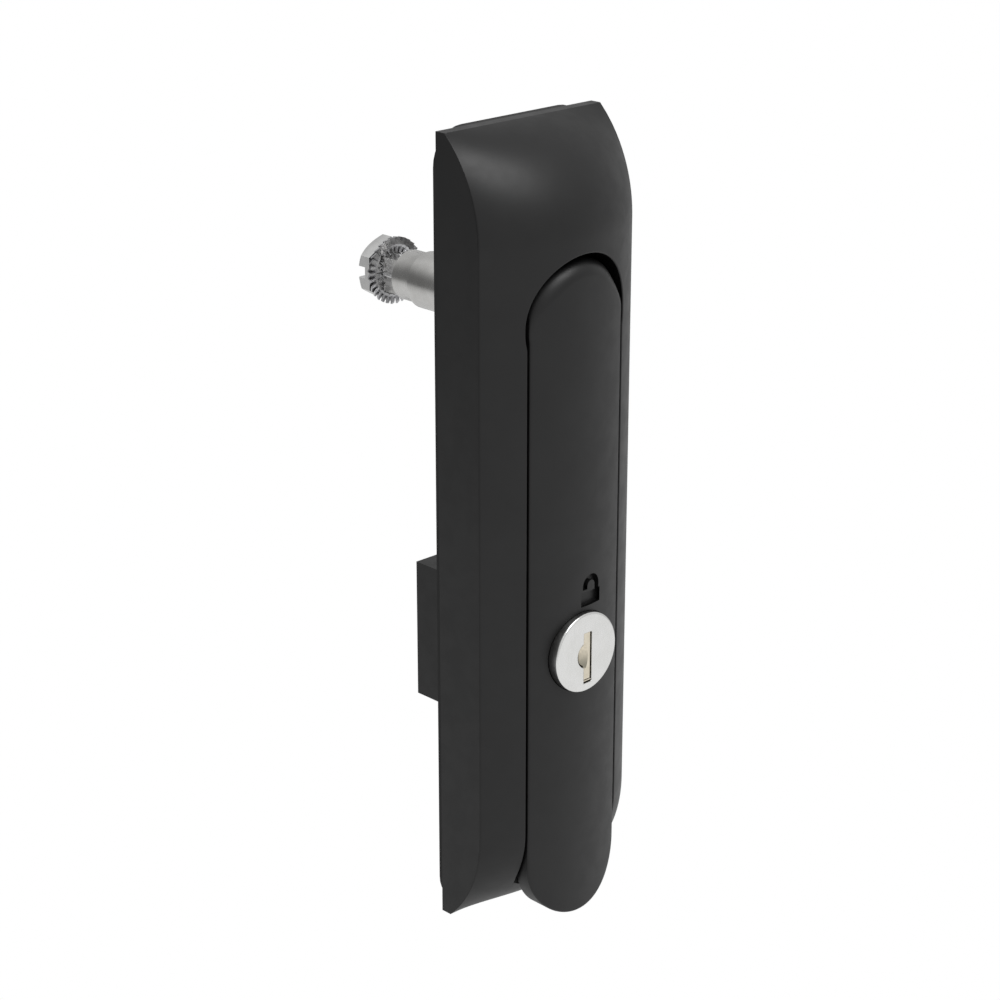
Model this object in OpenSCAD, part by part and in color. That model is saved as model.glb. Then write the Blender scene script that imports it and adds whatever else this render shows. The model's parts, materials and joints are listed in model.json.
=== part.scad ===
// Swing handle latch for a cabinet door.
// The door panel's outer face is the plane y = 0 and the user stands on the -Y side.
// The spindle turns about the Y axis, so the origin is where it crosses the panel face.

/* [Housing] */
// Width of the housing
housing_w = 34.5; // [33:0.5:40]
// Length of the housing
housing_l = 136.6; // [134:0.2:150]
// Height of the housing's top end above the spindle axis
top_reach = 31.15; // [29:0.05:38]
// Depth of the flat sides
side_h = 9.65; // [9:0.05:11]
// Rise of the crowned front above the sides
crown_h = 6.6; // [6.2:0.1:7.4]
// Depth of the lip at both ends
lip_h = 2.05; // [1.5:0.05:2.8]
// Length over which each end curves down to its lip
end_run = 17.5; // [15:0.5:20]
// Wall left around the hollows in the back
wall = 2; // [1.6:0.1:2.4]

/* [Gasket] */
// Thickness of the sealing gasket
gasket_t = 1.2; // [0.8:0.1:2]
// Set back of the gasket from the housing's sides
gasket_inset = 0.5; // [0.2:0.1:1]
// Corner radius of the gasket
gasket_corner_r = 6; // [3:0.5:8]

/* [Handle] */
// Width of the handle
handle_w = 20.6; // [20:0.1:20.8]
// Thickness of the handle's arm at its middle line
handle_t = 5.05; // [4.6:0.05:5.4]
// Side gap between the handle and its pocket
handle_gap = 0.35; // [0.3:0.05:0.8]
// Gap between the arm and the pocket floor
floor_gap = 0.2; // [0.1:0.05:0.4]
// Side gap between the handle and the round end of the pocket
head_gap = 0.55; // [0.5:0.05:0.9]
// Extra length of the round end above the spindle axis
head_rise = 0.6; // [0.4:0.05:1]
// Radius of the handle's round head
head_r = 10.4; // [10.4:0.05:10.6]
// Height above the spindle axis where the head starts to dome
dome_z = 1.6; // [0:0.2:4]
// Radius of the dome over the handle's head, seen from the side
dome_r = 26; // [18:0.5:40]
// Depth of the hollows in the arm's back
arm_core_depth = 2.4; // [1.5:0.1:2.8]

/* [Hinge] */
// Diameter of the hinge pin
pin_d = 3; // [2.5:0.1:3.2]
// Depth of the hinge pin behind the handle's front
pin_depth = 5.45; // [5.2:0.05:5.7]
// Radius of the cheeks and of the tang around the pin
knuckle_r = 3.2; // [3:0.05:3.3]
// Width of the tang between the cheeks
tang_w = 8; // [6:0.5:10]
// Thickness of the carrier's disc
disc_t = 1.7; // [1.4:0.1:1.8]
// Angle through which the handle swings out
lift_angle = 45; // [30:1:45]

/* [Spindle] */
// Diameter of the spindle
spindle_d = 9.8; // [9:0.1:10]
// Diameter of the neck at its end
neck_d = 8.7; // [8:0.1:8.8]
// Reach of the spindle behind the panel face, up to the neck
spindle_reach = 20.2; // [14:0.2:40]
// Length of the neck
neck_l = 4.5; // [2:0.5:8]
// Width across the flats of the square end
square_w = 6; // [5.4:0.2:6.4]
// Length of the square end
square_l = 3.2; // [2:0.2:6]
// Outer diameter of the bearing bush
bush_d = 13.5; // [13:0.1:14]
// Outer diameter of the collar behind the housing
collar_d = 17; // [16:0.5:19]
// Reach of the collar behind the panel face
collar_reach = 3; // [2:0.5:6]

/* [Cam screw] */
// Thread diameter of the cam screw
screw_d = 6; // [5:1:6]
// Width across the flats of the screw's head
screw_af = 10; // [8:1:11]
// Height of the screw's head
screw_head_h = 3; // [2.6:0.1:4]
// Width of the screwdriver slot
slot_w = 2; // [1.2:0.1:2.2]
// Outer diameter of the toothed washer
washer_d = 11.6; // [11:0.1:12.4]
// Number of teeth on the washer
washer_teeth = 22; // [16:2:26]

/* [Lock] */
// Distance of the lock below the spindle axis
lock_drop = 56.5; // [50:0.1:58]
// Diameter of the lock's face
face_d = 14; // [13.6:0.1:14.4]
// Height of the lock's face above the handle
face_proud = 1; // [0.6:0.1:1.2]
// Diameter of the lock's barrel
barrel_d = 13.2; // [12.8:0.1:13.4]
// Diameter of the plug inside the barrel
plug_d = 11.2; // [11:0.1:11.4]
// Width of the key slot
key_w = 1.85; // [1.6:0.05:2.2]
// Length of the key slot
key_l = 9.05; // [8:0.05:9.4]
// Number of wafers
wafer_count = 5; // [3:1:5]
// Reach of the lock's cam from its axis
cam_reach = 9.4; // [9.2:0.1:9.4]

/* [Lock box] */
// Width and height of the box behind the housing
box_w = 24.4; // [24.2:0.1:26]
// Reach of the box behind the panel face
box_reach = 10.1; // [9:0.1:16]
// Spacing of the two fixing threads in the box
fix_spacing = 15; // [12:0.5:16]
// Radius of the fixing threads
fix_r = 1.65; // [1.65:0.1:2.1]

/* [Hidden] */
$fn = 96;

// Clearances: running fits, static seats and visible joints
run_gap = 0.04;
seat_gap = 0.02;
free_gap = 0.3;
// Overlap of a cut past the face it starts from
cut = 1;

// Levels along Y, from the back of the housing to the front of the handle
back_y = -gasket_t;
body_h = side_h + crown_h;
front_y = back_y - body_h;
crown_r = (pow(housing_w / 2, 2) + pow(crown_h, 2)) / (2 * crown_h);
arm_back_y = front_y + handle_t;
floor_y = arm_back_y + floor_gap;
pin_y = front_y + pin_depth;

// Levels along Z
top_z = top_reach;
bottom_z = top_reach - housing_l;
lock_z = -lock_drop;

// Handle and pocket
handle_r = handle_w / 2;
pocket_r = head_r + head_gap;
pocket_half = handle_r + handle_gap;

// Carrier, bush and spindle
cavity_floor_y = back_y - 1.8;
disc_front_y = cavity_floor_y - disc_t - 2 * run_gap;
flange_t = 1.1;
flange_front_y = cavity_floor_y + run_gap;
bush_front_y = flange_front_y + flange_t + run_gap;
flange_r = bush_d / 2 - 0.3;
spring_t = 0.6;
ring_t = 0.8;
spring_y = collar_reach + run_gap;
ring_y = spring_y + spring_t + run_gap;
ring_groove_r = spindle_d / 2 - 0.7;
seal_section = 1.2;
seal_groove_r = spindle_d / 2 - seal_section - seat_gap;
seal_y = (bush_front_y + collar_reach) / 2;
socket_r = 2.5;
socket_l = 3.4;
neck_y = spindle_reach;
square_y = neck_y + neck_l;
square_end_y = square_y + square_l;
washer_t = 0.5;
washer_lean = 40;
washer_rim_w = 0.6;
tooth_w = 0.95;
inner_tooth_w = 0.6;
tooth_half = (washer_t * cos(washer_lean) + tooth_w * sin(washer_lean)) / 2;
washer_pitch_y = square_end_y + tooth_half + seat_gap;
head_y = washer_pitch_y + tooth_half + 0.35;
screw_end_y = head_y + screw_head_h;
screw_l = 12;

// Lock, from its face back to its nut
face_y = front_y - face_proud;
face_t = 1.3;
cap_t = 0.5;
cap_wall = 0.5;
shutter_t = 0.4;
plug_front_y = face_y + cap_t + shutter_t + 2 * seat_gap;
barrel_front_y = face_y + face_t + run_gap;
barrel_flange_y = front_y + 1.55;
barrel_end_y = -5.2;
clip_t = 0.8;
clip_r = barrel_d / 2 + 0.7;
clip_groove_r = barrel_d / 2 - 0.45;
catch_y = -6.2;
catch_t = 1;
cam_y = catch_y + catch_t + free_gap;
cam_t = 2;
cam_w = 7;
cam_square = 5.2;
stud_r = 2.5;
nut_af = 8;
nut_t = 2.6;
nut_y = cam_y + cam_t + seat_gap;
stud_end_y = nut_y + nut_t + 0.4;
key_x = 0.33;
key_drop = 1;
key_round_r = 2.35;
wafer_t = 0.8;
wafer_w = 6.6;
wafer_pitch = 1.7;
wafer_first_y = face_y + 3.2;
spring_d = 1.3;
spring_wire = 0.3;
spring_turns = 3;

// Opening in the pocket floor and hollow of the box
open_half_w = cam_reach + 0.4;
open_half_h = clip_r + 0.6;
hollow_half_w = open_half_w + 0.6;
hollow_low_z = lock_z - cam_reach - 1.5;
hollow_high_z = lock_z + cam_reach;
hollow_end_y = stud_end_y + 1.2;
box_z = lock_z - 0.75;
insert_r = fix_r + 1.15;
insert_l = 6.5;
top_fix_z = (pocket_r + head_rise + top_reach) / 2;
pad_r = 3;
pad_inset = 13;
pad_z = bottom_z + pad_inset;
pad_depth = 1.2;

// Lengths of the moulded hollows, kept clear of the box, the lock and the ends
core_end = 8;
core_rim = 1;
arm_core_top = 9;
arm_core_rim = 3.5;

function crown_at(x) = body_h - crown_r + sqrt(pow(crown_r, 2) - x * x);

// Depth of the outer skin at x, at a distance s from the nearer end
function skin_depth(x, s) =
    let (full = crown_at(x), drop = full - lip_h,
         r = (pow(end_run, 2) + pow(drop, 2)) / (2 * drop))
    s >= end_run ? full : full - r + sqrt(pow(r, 2) - pow(end_run - s, 2));

// Round bar along Y
module bar_y(r, y0, y1, x = 0, z = 0) {
    translate([x, y0, z]) rotate([-90, 0, 0]) cylinder(r = r, h = y1 - y0);
}

// Outline in X and Z, drawn as a 2D shape, carried along Y
module along_y(y0, y1) {
    translate([0, y1, 0]) rotate([90, 0, 0]) linear_extrude(y1 - y0) children();
}

// Outline in Y and Z, carried along X on both sides of the middle
module along_x(half) {
    rotate([90, 0, 90]) translate([0, 0, -half]) linear_extrude(2 * half) children();
}

// Box along Y with a square outline, given by its limits
module block(x0, x1, y0, y1, z0, z1) {
    translate([x0, y0, z0]) cube([x1 - x0, y1 - y0, z1 - z0]);
}

// Ring around the Y axis from a profile in radius and Y
module ring_y(x = 0, z = 0) {
    translate([x, 0, z]) rotate([-90, 0, 0]) rotate_extrude() children();
}

// Rectangle with round corners, centred in 2D
module soft_rect(w, h, r) {
    hull() for (sx = [-1, 1], sz = [-1, 1])
        translate([sx * (w / 2 - r), sz * (h / 2 - r)]) circle(r = r, $fn = 32);
}

// Crowned body whose ends curve down to straight lips
module housing_skin() {
    cols = 24;
    rows = 12;
    // Columns are even in angle across the crown and rows close up towards the lip
    half_angle = asin(housing_w / 2 / crown_r);
    xs = [for (i = [0:cols]) crown_r * sin(half_angle * (2 * i / cols - 1))];
    steps = [for (j = [0:rows]) end_run * (1 - cos(90 * j / rows))];
    stations = concat([for (s = steps) [bottom_z + s, s]],
        [for (j = [rows:-1:0]) [top_z - steps[j], steps[j]]]);
    ring = cols + 3;
    points = [for (st = stations) each concat([[-housing_w / 2, back_y, st[0]]],
        [for (x = xs) [x, back_y - skin_depth(x, st[1]), st[0]]],
        [[housing_w / 2, back_y, st[0]]])];
    last = len(stations) - 1;
    sides = [for (k = [0:last - 1], i = [0:ring - 1])
        let (a = k * ring + i, b = k * ring + (i + 1) % ring, c = b + ring, d = a + ring)
        each [[a, c, b], [a, d, c]]];
    polyhedron(points, concat(sides, [[for (i = [0:ring - 1]) i]],
        [[for (i = [ring - 1:-1:0]) last * ring + i]]), convexity = 4);
}

// Hollows moulded into the back, with a rib across each
module back_cores() {
    core_front_y = floor_y + wall;
    half = pocket_half - 0.4;
    rib = 1.6;
    core_edges = [[lock_z + box_w / 2 + core_rim, -pocket_r - wall],
        [bottom_z + core_end, box_z - box_w / 2 - core_rim]];
    for (e = core_edges)
        let (mid = (e[0] + e[1]) / 2) {
            block(-half, half, core_front_y, back_y + cut, e[0], mid - rib / 2);
            block(-half, half, core_front_y, back_y + cut, mid + rib / 2, e[1]);
        }
    // Beside the top fixing thread
    for (s = [-1, 1])
        translate([s * (insert_r + wall + 3.5), 0, 0])
            block(-3.5, 3.5, back_y - 5.5, back_y + cut, pocket_r + head_rise + wall, top_z - 5);
}

module housing() {
    color([0.06, 0.06, 0.065]) difference() {
        union() {
            housing_skin();
            bar_y(collar_d / 2, back_y - 0.5, collar_reach);
            along_y(back_y - 0.5, box_reach)
                translate([0, box_z]) square(box_w, center = true);
        }
        // Pocket for the handle, open at the bottom
        block(-pocket_half, pocket_half, front_y - cut, floor_y, bottom_z - cut, 0);
        for (z = [0, head_rise]) bar_y(pocket_r, front_y - cut, cavity_floor_y, z = z);
        bar_y(bush_d / 2, cavity_floor_y - cut, collar_reach + cut);
        // Way in for the lock, and the hollow where its cam turns
        block(-open_half_w, open_half_w, floor_y - cut, catch_y + cut,
            lock_z - open_half_h, lock_z + open_half_h);
        block(-hollow_half_w, hollow_half_w, catch_y, hollow_end_y, hollow_low_z, hollow_high_z);
        back_cores();
        bar_y(pad_r, floor_y - cut, floor_y + pad_depth, z = pad_z);
        bar_y(insert_r, back_y - insert_l, back_y + cut, z = top_fix_z);
        for (s = [-1, 1])
            bar_y(insert_r, box_reach - insert_l, box_reach + cut, x = s * fix_spacing / 2, z = box_z);
    }
}

module gasket() {
    hole_gap = 0.3;
    color([0.04, 0.04, 0.04]) difference() {
        along_y(back_y, 0) translate([0, (top_z + bottom_z) / 2])
            soft_rect(housing_w - 2 * gasket_inset, housing_l, gasket_corner_r);
        bar_y(collar_d / 2 + hole_gap, back_y - cut, cut);
        along_y(back_y - cut, cut) translate([0, box_z]) square(box_w + 2 * hole_gap, center = true);
        bar_y(insert_r + hole_gap, back_y - cut, cut, z = top_fix_z);
    }
}

// Brass bush with a blind thread, its mouth towards +Y
module insert(end_y, x, z) {
    difference() {
        bar_y(insert_r, end_y - insert_l, end_y, x, z);
        bar_y(fix_r, end_y - insert_l + 0.8, end_y + cut, x, z);
    }
}

module fixing_inserts() {
    color([0.78, 0.62, 0.32]) {
        insert(back_y, 0, top_fix_z);
        for (s = [-1, 1]) insert(box_reach, s * fix_spacing / 2, box_z);
    }
}

// Steel strip behind the pocket floor, which the cam hooks behind
module catch_plate() {
    color([0.6, 0.61, 0.62])
        block(-hollow_half_w + 0.1, hollow_half_w - 0.1, catch_y, catch_y + catch_t,
            hollow_low_z, lock_z - open_half_h);
}

module rest_pad() {
    color([0.08, 0.08, 0.08]) bar_y(pad_r, floor_y - floor_gap / 2, floor_y + pad_depth, z = pad_z);
}

// Turntable in the round end of the pocket, with a tang for the hinge pin
module carrier() {
    disc_back_y = cavity_floor_y - run_gap;
    color([0.32, 0.33, 0.34]) difference() {
        union() {
            bar_y(pocket_r - 0.3, disc_front_y, disc_back_y);
            along_x(tang_w / 2) {
                translate([pin_y, 0]) circle(r = knuckle_r);
                translate([pin_y, -knuckle_r]) square([disc_back_y - pin_y, 2 * knuckle_r]);
            }
        }
        rotate([0, 90, 0]) translate([0, pin_y, -tang_w / 2 - cut])
            cylinder(r = pin_d / 2 + run_gap, h = tang_w + 2 * cut);
        bar_y(socket_r + run_gap, disc_back_y - socket_l - 2 * run_gap, disc_back_y + cut);
    }
}

module spindle_bush() {
    color([0.75, 0.74, 0.7]) difference() {
        bar_y(bush_d / 2, bush_front_y, collar_reach);
        bar_y(spindle_d / 2 + run_gap, bush_front_y - cut, collar_reach + cut);
    }
}

module spindle() {
    edge = 0.4;
    color([0.62, 0.62, 0.61]) difference() {
        union() {
            // Turned profile, as radius against Y
            ring_y() polygon([[0, flange_front_y - run_gap - socket_l], [socket_r, flange_front_y - run_gap - socket_l],
                [socket_r, flange_front_y], [flange_r, flange_front_y],
                [flange_r, flange_front_y + flange_t], [spindle_d / 2, flange_front_y + flange_t],
                [spindle_d / 2, seal_y - seal_section / 2], [seal_groove_r, seal_y - seal_section / 2],
                [seal_groove_r, seal_y + seal_section / 2], [spindle_d / 2, seal_y + seal_section / 2],
                [spindle_d / 2, ring_y], [ring_groove_r, ring_y],
                [ring_groove_r, ring_y + ring_t], [spindle_d / 2, ring_y + ring_t],
                [spindle_d / 2, neck_y - edge], [spindle_d / 2 - edge, neck_y],
                [neck_d / 2, neck_y], [neck_d / 2, square_y - edge],
                [neck_d / 2 - edge, square_y], [0, square_y]]);
            intersection() {
                block(-square_w / 2, square_w / 2, square_y - edge, square_end_y, -square_w / 2, square_w / 2);
                bar_y(neck_d / 2, square_y - cut, square_end_y);
            }
        }
        bar_y(screw_d / 2 + seat_gap, square_end_y - screw_l - 2, square_end_y + cut);
    }
}

module spindle_seal() {
    color([0.05, 0.05, 0.05]) ring_y()
        translate([spindle_d / 2 - seal_section / 2, seal_y]) circle(r = seal_section / 2 - seat_gap, $fn = 32);
}

// Flat ring with its turns pressed into three shallow waves
module spring_washer() {
    steps = 36;
    inner_r = spindle_d / 2 + 0.15;
    outer_r = bush_d / 2 - 0.4;
    strip_t = 0.3;
    wave = (spring_t - strip_t) / 2;
    points = [for (i = [0:steps - 1]) let (a = 360 * i / steps, y = spring_y + wave * (1 + cos(3 * a)))
        each [for (p = [[inner_r, 0], [outer_r, 0], [outer_r, strip_t], [inner_r, strip_t]])
            [p[0] * cos(a), y + p[1], p[0] * sin(a)]]];
    faces = [for (i = [0:steps - 1], j = [0:3])
        let (a = 4 * i + j, b = 4 * i + (j + 1) % 4, c = (b + 4) % (4 * steps), d = (a + 4) % (4 * steps))
        each [[a, c, b], [a, d, c]]];
    color([0.55, 0.55, 0.56]) polyhedron(points, faces, convexity = 4);
}

// Open ring with two eyes for the pliers
module retaining_ring() {
    outer_r = spindle_d / 2 + 1.1;
    gap = 3;
    color([0.25, 0.25, 0.26]) difference() {
        union() {
            bar_y(outer_r, ring_y + seat_gap, ring_y + ring_t - seat_gap);
            for (s = [-1, 1])
                bar_y(1.2, ring_y + seat_gap, ring_y + ring_t - seat_gap, s * (gap / 2 + 0.6), outer_r - 0.2);
        }
        bar_y(ring_groove_r + seat_gap, ring_y - cut, ring_y + ring_t + cut);
        block(-gap / 2, gap / 2, ring_y - cut, ring_y + ring_t + cut, 0, outer_r + 4);
        for (s = [-1, 1])
            bar_y(0.5, ring_y - cut, ring_y + ring_t + cut, s * (gap / 2 + 0.7), outer_r);
    }
}

// Lock washer with teeth on both edges of its rim, each twisted out of its plane
module toothed_washer() {
    rim_r = (washer_d / 2 + screw_d / 2) / 2 + 0.1;
    color([0.45, 0.45, 0.46]) {
        difference() {
            bar_y(rim_r + washer_rim_w / 2, washer_pitch_y - washer_t / 2, washer_pitch_y + washer_t / 2);
            bar_y(rim_r - washer_rim_w / 2, washer_pitch_y - cut, washer_pitch_y + cut);
        }
        washer_row(rim_r + washer_rim_w / 2 - 0.2, washer_d / 2, tooth_w, washer_teeth);
        washer_row(screw_d / 2 + 0.15, rim_r - washer_rim_w / 2 + 0.2, inner_tooth_w, washer_teeth - 4);
    }
}

module washer_row(r0, r1, w, count) {
    for (i = [0:count - 1])
        rotate([0, 360 * i / count, 0]) translate([r0, washer_pitch_y, 0]) rotate([washer_lean, 0, 0])
            translate([0, -washer_t / 2, -w / 2]) cube([r1 - r0, washer_t, w]);
}

module cam_screw() {
    corner_r = screw_af / sqrt(3);
    slot_depth = 1.85;
    color([0.7, 0.7, 0.69]) {
        difference() {
            union() {
                intersection() {
                    along_y(head_y, screw_end_y) rotate(30) circle(r = corner_r, $fn = 6);
                    // Turned chamfer on the corners of the head
                    ring_y() polygon([[0, head_y], [corner_r, head_y], [corner_r, screw_end_y - 0.9],
                        [screw_af / 2 - 0.25, screw_end_y], [0, screw_end_y]]);
                }
                bar_y(screw_d / 2, head_y - screw_l, head_y + 0.1);
            }
            block(-corner_r - cut, corner_r + cut, screw_end_y - slot_depth, screw_end_y + cut,
                -slot_w / 2, slot_w / 2);
        }
    }
}

// Front of the handle: crowned along the arm, domed over the head
module handle_front() {
    union() {
        translate([0, front_y + crown_r, bottom_z - cut])
            cylinder(r = crown_r, h = dome_z - bottom_z + cut, $fn = 180);
        translate([0, front_y + dome_r, dome_z]) rotate([0, 90, 0]) rotate_extrude($fn = 180)
            intersection() {
                translate([dome_r - crown_r, 0]) circle(r = crown_r, $fn = 180);
                translate([0, -head_r - cut]) square([dome_r + cut, 2 * (head_r + cut)]);
            }
    }
}

// Side view of the handle: a flat arm, with cheeks behind its head
module handle_side() {
    cheek_y = pin_y + knuckle_r;
    // The head's back passes the disc with some room at full lift
    reach = (disc_front_y - pin_y - free_gap) / sin(lift_angle);
    slope = cos(lift_angle) / sin(lift_angle);
    head_top = head_r + cut;
    polygon([[front_y - cut, bottom_z - cut], [arm_back_y, bottom_z - cut], [arm_back_y, 0],
        [cheek_y, 0], [cheek_y, reach - slope * knuckle_r],
        [pin_y + (reach - head_top) / slope, head_top], [front_y - cut, head_top]]);
    translate([pin_y, 0]) circle(r = knuckle_r);
}

// Room that the tang needs inside the head as the handle swings out
module tang_slot() {
    r = knuckle_r + free_gap;
    far = 12;
    ux = cos(lift_angle);
    uz = sin(lift_angle);
    along_x(tang_w / 2 + free_gap / 2) translate([pin_y, 0]) {
        circle(r = r);
        polygon([[0, -r], [far, -r], [far, far], [far * ux - r * uz, far * uz + r * ux], [-r * uz, r * ux]]);
    }
}

// Open padlock, sunk into the handle above the lock
module padlock_sign() {
    body_w = 4.7;
    body_h = 2.5;
    x = 1.95;
    low_z = lock_z + 7.85;
    ring_z = low_z + body_h + 0.95;
    depth = 1.7;
    along_y(front_y - cut, front_y + depth) {
        translate([x - body_w / 2, low_z]) square([body_w, body_h]);
        difference() {
            union() {
                translate([x, ring_z]) circle(r = 2);
                translate([x, low_z + body_h - 0.1]) square([2, 1.1]);
                translate([x - 2, ring_z - 0.5]) square([2, 0.5]);
            }
            translate([x, ring_z]) circle(r = 0.9);
            translate([x - 0.9, low_z + body_h]) square([1.8, 0.95]);
            translate([x - 3, low_z + body_h]) square([3, 0.45]);
        }
    }
}

// Hollows in the arm's back, between ribs
module arm_cores() {
    half = handle_r - 2.6;
    rib = 1.5;
    spans = [[-knuckle_r - arm_core_top, lock_z + barrel_d / 2 + arm_core_rim],
        [lock_z - barrel_d / 2 - arm_core_rim, bottom_z + arm_core_top]];
    count = 3;
    for (s = spans) {
        step = (s[0] - s[1]) / count;
        for (i = [0:count - 1])
            block(-half, half, arm_back_y - arm_core_depth, arm_back_y + cut,
                s[1] + i * step + rib / 2, s[1] + (i + 1) * step - rib / 2);
    }
}

module handle() {
    color([0.06, 0.06, 0.065]) difference() {
        intersection() {
            handle_front();
            along_x(head_r + cut) handle_side();
            along_y(front_y - cut, 0) {
                circle(r = head_r);
                translate([0, bottom_z + handle_r]) circle(r = handle_r);
                translate([-handle_r, bottom_z + handle_r]) square([handle_w, -bottom_z - handle_r]);
            }
        }
        tang_slot();
        rotate([0, 90, 0]) translate([0, pin_y, -handle_r - cut])
            cylinder(r = pin_d / 2 + seat_gap, h = handle_w + 2 * cut);
        bar_y(barrel_d / 2 + seat_gap, front_y - cut, 0, z = lock_z);
        bar_y(face_d / 2 + 0.1, front_y - cut, barrel_flange_y, z = lock_z);
        arm_cores();
        padlock_sign();
    }
}

module hinge_pin() {
    half = handle_r - 0.4;
    color([0.66, 0.66, 0.67]) rotate([0, 90, 0]) translate([0, pin_y, -half])
        cylinder(r = pin_d / 2, h = 2 * half);
}

module lock_barrel() {
    color([0.7, 0.7, 0.68]) difference() {
        union() {
            bar_y(face_d / 2, barrel_front_y, barrel_flange_y - seat_gap, z = lock_z);
            bar_y(barrel_d / 2, barrel_front_y, barrel_end_y, z = lock_z);
        }
        bar_y(plug_d / 2 + run_gap, barrel_front_y - cut, barrel_end_y + cut, z = lock_z);
        // Groove for the clip
        difference() {
            bar_y(barrel_d / 2 + cut, arm_back_y + seat_gap, arm_back_y + clip_t + 3 * seat_gap, z = lock_z);
            bar_y(clip_groove_r, arm_back_y, arm_back_y + clip_t + cut, z = lock_z);
        }
    }
}

// Spring clip that holds the barrel in the arm, open at the top
module lock_clip() {
    y0 = arm_back_y + 2 * seat_gap;
    color([0.58, 0.58, 0.58]) difference() {
        bar_y(clip_r, y0, y0 + clip_t, z = lock_z);
        bar_y(clip_groove_r + seat_gap, y0 - cut, y0 + clip_t + cut, z = lock_z);
        block(-clip_groove_r * 0.8, clip_groove_r * 0.8, y0 - cut, y0 + clip_t + cut, lock_z, lock_z + clip_r + cut);
    }
}

// Outline of the keyhole: a slot with a round bulge on one side
module key_outline() {
    translate([key_x - key_w / 2, -key_drop - key_l / 2]) square([key_w, key_l]);
    intersection() {
        translate([key_x, -key_drop / 2]) circle(r = key_round_r, $fn = 48);
        translate([key_x - key_round_r - cut, -key_l]) square([key_round_r + cut, 2 * key_l]);
    }
}

function wafer_y(i) = wafer_first_y + i * wafer_pitch;

// Pressed cap over the front of the plug
module face_cap() {
    edge = 0.2;
    r = face_d / 2;
    color([0.78, 0.78, 0.75]) translate([0, 0, lock_z]) difference() {
        ring_y() polygon([[0, face_y], [r - edge, face_y], [r, face_y + edge], [r, face_y + face_t],
            [r - cap_wall, face_y + face_t], [r - cap_wall, face_y + cap_t], [0, face_y + cap_t]]);
        along_y(face_y - cut, face_y + face_t) key_outline();
    }
}

// Flap behind the keyhole, dished where the key's tip enters
module dust_shutter() {
    y0 = face_y + cap_t + seat_gap;
    dish_r = 9;
    dish_depth = 0.3;
    color([0.72, 0.68, 0.58]) translate([0, 0, lock_z]) difference() {
        bar_y(face_d / 2 - cap_wall - seat_gap, y0, y0 + shutter_t);
        translate([key_x - key_round_r / 2, y0 + dish_depth - dish_r, -key_drop / 2]) sphere(r = dish_r);
    }
}

module lock_plug() {
    color([0.74, 0.72, 0.64]) translate([0, 0, lock_z]) difference() {
        union() {
            // Flange, core and stud, as radius against Y
            ring_y() polygon([[0, plug_front_y], [face_d / 2 - cap_wall - seat_gap, plug_front_y],
                [face_d / 2 - cap_wall - seat_gap, face_y + face_t], [plug_d / 2, face_y + face_t],
                [plug_d / 2, cam_y - seat_gap], [stud_r, cam_y - seat_gap],
                [stud_r, stud_end_y], [0, stud_end_y]]);
            block(-cam_square / 2, cam_square / 2, cam_y - 0.1, cam_y + cam_t, -cam_square / 2, cam_square / 2);
        }
        along_y(plug_front_y - cut, barrel_end_y - 1) key_outline();
        for (i = [0:wafer_count - 1])
            block(-wafer_w / 2, wafer_w / 2, wafer_y(i), wafer_y(i) + wafer_t, -plug_d, plug_d);
    }
}

// Brass plates across the plug, each with a window for the key at its own height
module lock_wafers() {
    lifts = [0.3, -0.4, 0.1, -0.2, 0.4];
    color([0.8, 0.66, 0.4]) translate([0, 0, lock_z])
        for (i = [0:wafer_count - 1])
            along_y(wafer_y(i) + seat_gap, wafer_y(i) + wafer_t - seat_gap) difference() {
                intersection() {
                    circle(r = plug_d / 2 - 0.05);
                    square([wafer_w - 4 * seat_gap, plug_d], center = true);
                }
                translate([key_x - key_w / 2, -key_drop - key_l / 2 + 1.2 + lifts[i]])
                    square([key_w, key_l - 2.4]);
                // Pocket for the spring at the wafer's side
                translate([wafer_w / 2 - spring_d - 0.2, -1.7]) square([spring_d + 1, 3.4]);
            }
}

// Small coil springs, one beside each wafer
module wafer_springs() {
    sides = 5;
    per_turn = 7;
    n = spring_turns * per_turn;
    coil_r = (min(spring_d, wafer_t - 2 * seat_gap) - spring_wire) / 2;
    length = 3.1;
    color([0.7, 0.7, 0.7]) translate([wafer_w / 2 - spring_d / 2 - 0.1, 0, lock_z])
        for (w = [0:wafer_count - 1]) {
            y = wafer_y(w) + wafer_t / 2;
            points = [for (i = [0:n]) let (a = 360 * i / per_turn)
                each [for (j = [0:sides - 1]) let (b = 360 * j / sides, r = coil_r + spring_wire / 2 * cos(b))
                    [r * cos(a), y + r * sin(a), length * (i / n - 0.5) + spring_wire / 2 * sin(b)]]];
            faces = [for (i = [0:n - 1], j = [0:sides - 1])
                let (a = sides * i + j, b = sides * i + (j + 1) % sides, c = b + sides, d = a + sides)
                each [[a, b, c], [a, c, d]]];
            polyhedron(points, concat(faces, [[for (j = [sides - 1:-1:0]) j]],
                [[for (j = [0:sides - 1]) n * sides + j]]), convexity = 6);
        }
}

// Tongue on the plug's square, pointing to +X while unlocked
module lock_cam() {
    hub_r = 5;
    color([0.55, 0.56, 0.57]) along_y(cam_y, cam_y + cam_t) translate([0, lock_z]) difference() {
        union() {
            circle(r = hub_r);
            translate([0, -cam_w / 2]) square([cam_reach - 1, cam_w]);
            translate([cam_reach - 1.5, 0]) soft_rect(3, cam_w, 1);
        }
        square(cam_square + 2 * seat_gap, center = true);
    }
}

module cam_nut() {
    color([0.7, 0.7, 0.69]) along_y(nut_y, nut_y + nut_t) translate([0, lock_z]) difference() {
        circle(r = nut_af / sqrt(3), $fn = 6);
        circle(r = stud_r + seat_gap);
    }
}

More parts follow.
